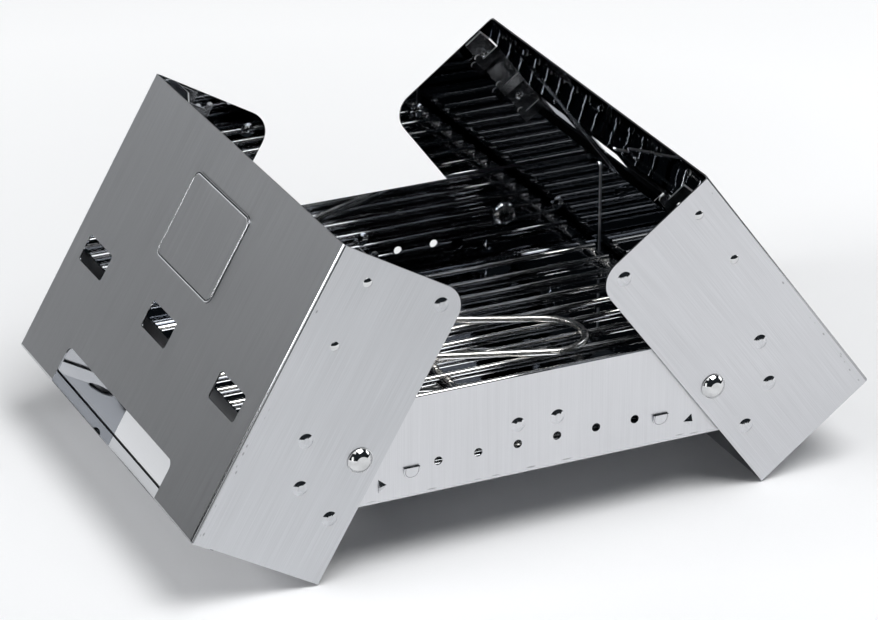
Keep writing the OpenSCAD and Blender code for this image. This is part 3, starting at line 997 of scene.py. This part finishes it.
@dataclass
class ShellDress:
    """One swinging shell with its bottom plate, hook brackets and bracket rivets.

    Attributes:
        side: Which shell.
        layout: Where it stands.
        sheet: Finish of the bent sheet.
        plate: Finish of the bottom plate.
        groove: Finish of the near-black web in the groove beside the bottom plate, painted shade.
        hooks: Finish of the brackets.
        rivets: Finish of the rivets.
        inside: A point inside the shell, in from its end panel and up from its bottom plate.
        flange: Width of the flange at the foot of the end panel.
        gap: Width of the groove between that flange and the bottom plate.
        half: Half of the groove's length.
        web_w: Width of the web in the groove.
        web_t: Its thickness.
        web_z: Height of the web's middle.
        web_rim: Width of the web's raised rim.
        web_dip: Depth of the web within its rim.
    """

    side: Side
    layout: Layout
    sheet: TwoFacedSheet
    plate: TwoFacedSheet
    groove: BrightSteel
    hooks: HookSheet
    rivets: BrightSteel
    inside: Pair = (58 * MM, 76 * MM)
    flange: float = 11 * MM
    gap: float = 2.5 * MM
    half: float = 113.4 * MM
    web_w: float = 2.4 * MM
    web_t: float = 0.3 * MM
    web_z: float = -0.6 * MM
    web_rim: float = 0.5 * MM
    web_dip: float = 0.18 * MM

    def shade_web(self, frame: Matrix) -> Object:
        """Models the near-black web at the bottom of the groove beside the bottom plate, a dark
        sheet that stands for the groove's shade.

        Args:
            frame: The shell's frame.

        Returns:
            The piece.
        """
        alone()
        bpy.ops.mesh.primitive_cube_add(size=1.0)
        web = bpy.context.object
        web.scale = (self.web_w, 2 * self.half, self.web_t)
        bpy.ops.object.transform_apply(location=False, rotation=False, scale=True)
        bpy.ops.object.mode_set(mode="EDIT")
        mesh = bmesh.from_edit_mesh(web.data)
        for face in mesh.faces:
            face.select_set(face.normal.z > 0.9)
        bmesh.update_edit_mesh(web.data)
        bpy.ops.mesh.inset(thickness=self.web_rim)
        bpy.ops.transform.translate(value=(0, 0, -self.web_dip))
        bpy.ops.object.mode_set(mode="OBJECT")
        shift = Matrix.Translation((-self.side.value * (self.flange + self.gap / 2), 0, self.web_z))
        web.matrix_world = frame @ shift
        return settle(web, f"{self.side.name.lower()}_foot_groove")

    def build(self) -> None:
        """Dresses the shell's nodes and adds the near-black web in the groove beside its bottom
        plate, painted shade.
        """
        name = self.side.name.lower()
        frame = self.layout.shell(self.side)
        inside = frame @ Vector((-self.side.value * self.inside[0], 0, self.inside[1]))
        self.layout.dress(f"{name}_shell", self.sheet.make(frame, inside), broken=True)
        self.layout.dress(f"{name}_bottom_plate", self.plate.make(frame, inside), broken=True)
        # A near-black web in the groove, a dark sheet that stands for the groove's shade: painted
        # shade.
        web = self.shade_web(frame)
        web.data.materials.append(self.groove.make())
        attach(web, f"{name}_shell")
        log.info("%s: groove web", web.name)
        hooks = self.hooks.make(frame)
        rivets = self.rivets.make()
        for face in Face:
            self.layout.dress(f"{name}_{face.name.lower()}_hooks", hooks, broken=True)
            self.layout.dress(f"{name}_{face.name.lower()}_hook_rivets", rivets)


@dataclass
class TrayDress:
    """The fire tray with its pivot rivets, formed heads and spacer washers.

    Attributes:
        layout: Where it stands.
        sheet: Finish of the folded sheet.
        rivets: Finish of the rivets.
        washers: Finish of the washers.
        inside: Height over the tray's underside of a point that its walls stand around.
    """

    layout: Layout
    sheet: TwoFacedSheet
    rivets: BrightSteel
    washers: BrightSteel
    inside: float = 60 * MM

    def build(self) -> None:
        """Dresses the tray's nodes."""
        frame = self.layout.tray()
        sheet = self.sheet.make(frame, frame @ Vector((0, 0, self.inside)))
        self.layout.dress("tray", sheet, broken=True)
        rivets, washers = self.rivets.make(), self.washers.make()
        for side in Side:
            for face in Face:
                corner = f"{side.name.lower()}_{face.name.lower()}"
                for kind, finish in (("pivot", rivets), ("collar", rivets), ("washer", washers)):
                    self.layout.dress(f"{corner}_{kind}", finish)


@dataclass
class GrateDress:
    """The loose cooking grate and the lifting handle that lies on it.

    Attributes:
        layout: Where they lie.
        wire: Finish of the grate's wires.
        handle: Finish of the handle's wire.
        weld: Finish of the welds.
        bar_count: Number of bars.
        bar_pitch: Distance between bars.
        cross_x: Places of the cross wires along the tray.
        shift: How far the grate lies off the tray's middle.
        weld_z: Height over the tray's underside at which the bars rest on the cross wires.
        handle_turn: Turn of the handle on the grate, in degrees.
        bead: Half sizes of a weld's bead.
        uneven: How uneven a bead is, as a share of its size.
    """

    layout: Layout
    wire: DrawnWire
    handle: DrawnWire
    weld: BrightSteel
    bar_count: int = 13
    bar_pitch: float = 15.55 * MM
    cross_x: Sequence[float] = (-134.0 * MM, 0.0, 134.0 * MM)
    shift: float = 1.9 * MM
    weld_z: float = 4.7 * MM
    handle_turn: float = -21.4
    bead: Point = (2.1 * MM, 2.3 * MM, 0.75 * MM)
    uneven: float = 0.06

    def weld_bead(self, at: Vector) -> Object:
        """Models the two small fillets of a resistance weld where a bar crosses a wire.

        Args:
            at: The middle of the joint, in the tray's frame.

        Returns:
            The bead, in the tray's frame.
        """
        alone()
        bpy.ops.mesh.primitive_uv_sphere_add(segments=12, ring_count=8, radius=1.0, location=at)
        bead = bpy.context.object
        bead.scale = self.bead
        bpy.ops.object.mode_set(mode="EDIT")
        bpy.ops.mesh.select_all(action="SELECT")
        seed = int(abs(at.x + 7 * at.y) * 1e5) % 997
        bpy.ops.transform.vertex_random(offset=self.uneven, seed=seed)
        bpy.ops.object.mode_set(mode="OBJECT")
        return bead

    def welds(self) -> None:
        """Adds one piece of welds for each cross wire."""
        material = self.weld.make()
        frame = self.layout.tray()
        for number, x in enumerate(self.cross_x, start=1):
            beads = []
            for i in range(self.bar_count):
                y = self.shift + (i - (self.bar_count - 1) / 2) * self.bar_pitch
                beads.append(self.weld_bead(Vector((x, y, self.weld_z))))
            alone()
            for bead in beads:
                bead.select_set(True)
            bpy.context.view_layer.objects.active = beads[0]
            bpy.ops.object.join()
            piece = bpy.context.object
            piece.matrix_world = frame @ piece.matrix_world
            settle(piece, f"grate_welds_{number}")
            piece.data.materials.append(material)
            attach(piece, "cooking_grate")
            log.info("%s: %d beads", piece.name, len(beads))

    def build(self) -> None:
        """Dresses the wires and adds the welds."""
        frame = self.layout.tray()
        self.layout.dress("grate_bars", self.wire.make(frame))
        across = frame @ Matrix.Rotation(math.pi / 2, 4, "Z")
        self.layout.dress("grate_cross_wires", self.wire.make(across))
        along = frame @ Matrix.Rotation(math.radians(self.handle_turn), 4, "Z")
        self.layout.dress("lifting_handle", self.handle.make(along))
        self.welds()


# Studio


@dataclass(frozen=True)
class Lamp:
    """One soft area lamp.

    Attributes:
        name: Its name.
        at: Its place.
        aim: The point it faces.
        size: Its width and height.
        power: Its power in watts.
    """

    name: str
    at: Point
    aim: Point
    size: Pair
    power: float

    def build(self) -> None:
        """Adds the lamp."""
        data = bpy.data.lights.new(self.name, "AREA")
        data.shape = "RECTANGLE"
        data.size, data.size_y = self.size
        data.energy = self.power
        obj = bpy.data.objects.new(self.name, data)
        bpy.context.scene.collection.objects.link(obj)
        obj.visible_camera = False
        obj.location = self.at
        toward = Vector(self.aim) - Vector(self.at)
        obj.rotation_euler = toward.to_track_quat("-Z", "Y").to_euler()
        log.info("lamp %s: %.1f W", self.name, self.power)


@dataclass
class Studio:
    """The floor, the lamps, the world and the camera.

    Attributes:
        paper: Finish of the floor.
        lamps: The lamps.
        floor_size: Width of the floor.
        room_color: Colour of the room's dim light.
        room_low: Its strength at the horizon.
        room_high: Its strength higher up.
        room_top: Sine of the angle from which that strength holds.
        camera_at: The camera's place.
        camera_aim: The point in the middle of the picture.
        camera_roll: The camera's roll, in degrees.
        lens: Focal length in millimetres.
        sensor: Width of the sensor in millimetres.
    """

    paper: StudioPaper
    lamps: Iterable[Lamp]
    floor_size: float = 7.0
    room_color: Color = (0.72, 0.88, 1.0)
    room_low: float = 0.018
    room_high: float = 0.03
    room_top: float = 0.5
    camera_at: Point = (-0.71457, -1.56372, 0.87416)
    camera_aim: Point = (-0.02508, -0.05735, 0.09675)
    camera_roll: float = -0.753
    lens: float = 160.31
    sensor: float = 36.0

    def floor(self) -> None:
        """Models the paper floor."""
        alone()
        bpy.ops.mesh.primitive_plane_add(size=1.0)
        floor = bpy.context.object
        floor.scale = (self.floor_size, self.floor_size, 1.0)
        bpy.ops.object.transform_apply(location=True, rotation=True, scale=True)
        floor.name = "studio_floor"
        floor.data.materials.append(self.paper.make())

    def world(self) -> None:
        """Sets the room's dim light, a little brighter higher up."""
        world = bpy.data.worlds.new("room")
        bpy.context.scene.world = world
        world.use_nodes = True
        tree = world.node_tree
        tree.nodes.clear()
        kinds = ("OutputWorld", "Background", "TexCoord", "SeparateXYZ", "MapRange")
        out, sky, place, split, ramp = (tree.nodes.new(f"ShaderNode{kind}") for kind in kinds)
        tree.links.new(place.outputs["Generated"], split.inputs[0])
        tree.links.new(split.outputs["Z"], ramp.inputs["Value"])
        ramp.inputs["From Max"].default_value = self.room_top
        ramp.inputs["To Min"].default_value = self.room_low
        ramp.inputs["To Max"].default_value = self.room_high
        sky.inputs["Color"].default_value = (*self.room_color, 1.0)
        tree.links.new(ramp.outputs["Result"], sky.inputs["Strength"])
        tree.links.new(sky.outputs[0], out.inputs[0])

    def camera(self) -> None:
        """Adds the camera at the photograph's viewing angle."""
        data = bpy.data.cameras.new("photo_camera")
        data.sensor_width = self.sensor
        data.lens = self.lens
        data.clip_end = 50.0
        obj = bpy.data.objects.new("photo_camera", data)
        bpy.context.scene.collection.objects.link(obj)
        forward = (Vector(self.camera_aim) - Vector(self.camera_at)).normalized()
        level = forward.cross(Vector((0, 0, 1))).normalized()
        up = level.cross(forward)
        roll = math.radians(self.camera_roll)
        right = math.cos(roll) * level + math.sin(roll) * up
        up = right.cross(forward)
        turn = Matrix((right, up, -forward)).transposed().to_4x4()
        obj.matrix_world = Matrix.Translation(self.camera_at) @ turn
        bpy.context.scene.camera = obj

    def build(self) -> None:
        """Builds the studio around the grill."""
        self.floor()
        for lamp in self.lamps:
            lamp.build()
        self.world()
        self.camera()
        bpy.context.scene.view_settings.view_transform = "Standard"


# This grill's finishes and lamps

# Painted light and shade: each shell's brushed colour and its gradients are set apart from the same
# steel for how the light falls on it.
SHELL_STEEL_LIT_AND_SHADED = {Side.LEFT: (0.55, 0.56, 0.58), Side.RIGHT: (0.595, 0.60, 0.62)}
SHELL_PAINTED_LIGHT = {Side.LEFT: PaintedPanelLight(wing=0.12), Side.RIGHT: PaintedPanelLight(wing=0.05)}
SHELL_MARKS = PressMarks(2.6 * MM, 4.6 * MM, 0, 115 * MM, rare=0.2, reach=70 * MM)
# Painted light and shade: the tray's brushed colour is lighter and its mirror colour darker than
# the shells' same steel.
TRAY_SHEET = TwoFacedSheet(
    "tray_sheet", brushed=(0.63, 0.635, 0.655), bright=(0.33, 0.345, 0.37), bright_rough=0.03,
    wave=0.012 * MM, tabs=TabLines(), flanges=FlangeCutAndHighlight(),
    marks=PressMarks(2.2 * MM, 3.2 * MM, 2, 112.5 * MM, run=0.18, rare=0.12))
HANDLE_WIRE = DrawnWire("handle_wire", color=(0.95, 0.93, 0.89), rough=0.24)
WELD_STEEL = BrightSteel("weld_steel", color=(0.5, 0.49, 0.47), rough=0.35)
LAMPS = (
    Lamp("key_softbox", (0.60, -1.02, 2.93), (0.0, 0.0, 0.0), (1.95, 1.95), 87.0),
    Lamp("left_softbox", (-1.9, 0.15, 1.15), (0.0, 0.0, 0.0), (0.9, 0.8), 22.0),
    Lamp("left_front_strip", (-1.75, -1.25, 0.45), (0.0, 0.0, 0.1), (0.5, 1.1), 3.0),
    Lamp("left_back_card", (-1.25, 1.75, 0.42), (-0.15, 0.0, 0.1), (2.2, 0.6), 0.46),
    Lamp("top_left_card", (-1.15, -0.85, 2.3), (0.0, 0.0, 0.1), (1.0, 1.0), 5.0),
    Lamp("right_softbox", (2.3, -0.2, 0.9), (0.0, 0.0, 0.1), (1.2, 1.0), 10.0),
)


def shell_dress(side: Side, layout: Layout) -> ShellDress:
    """Chooses the finishes of one shell.

    Args:
        side: Which shell.
        layout: Where it stands.

    Returns:
        The sub-assembly, ready to build.
    """
    name = side.name.lower()
    return ShellDress(
        side=side,
        layout=layout,
        sheet=TwoFacedSheet(
            f"{name}_sheet", brushed=SHELL_STEEL_LIT_AND_SHADED[side], contrast=2.0, painted_light=SHELL_PAINTED_LIGHT[side],
            rim=PlateRim(), marks=SHELL_MARKS),
        plate=TwoFacedSheet(f"{name}_plate", bright=(0.60, 0.61, 0.63)),
        # The groove's web is near black, painted shade.
        groove=BrightSteel(f"{name}_groove", color=(0.05, 0.05, 0.055), rough=0.45),
        hooks=HookSheet(f"{name}_hooks"),
        rivets=BrightSteel(f"{name}_rivets", rough=0.06),
    )


def main() -> None:
    """Builds the grill's looks, piece by piece."""
    logging.basicConfig(level=logging.INFO, format="%(name)s %(message)s")
    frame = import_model()
    layout = Layout(frame)
    log.info("tray tilt %.3f degrees", math.degrees(layout.tilt))
    for side in Side:
        shell_dress(side, layout).build()
    TrayDress(layout, TRAY_SHEET, BrightSteel("pivot_steel", rough=0.06),
              BrightSteel("washer_steel", rough=0.3)).build()
    GrateDress(layout, DrawnWire("grate_wire"), HANDLE_WIRE, WELD_STEEL).build()
    Studio(StudioPaper("paper"), LAMPS).build()


if __name__ == "__main__":
    main()
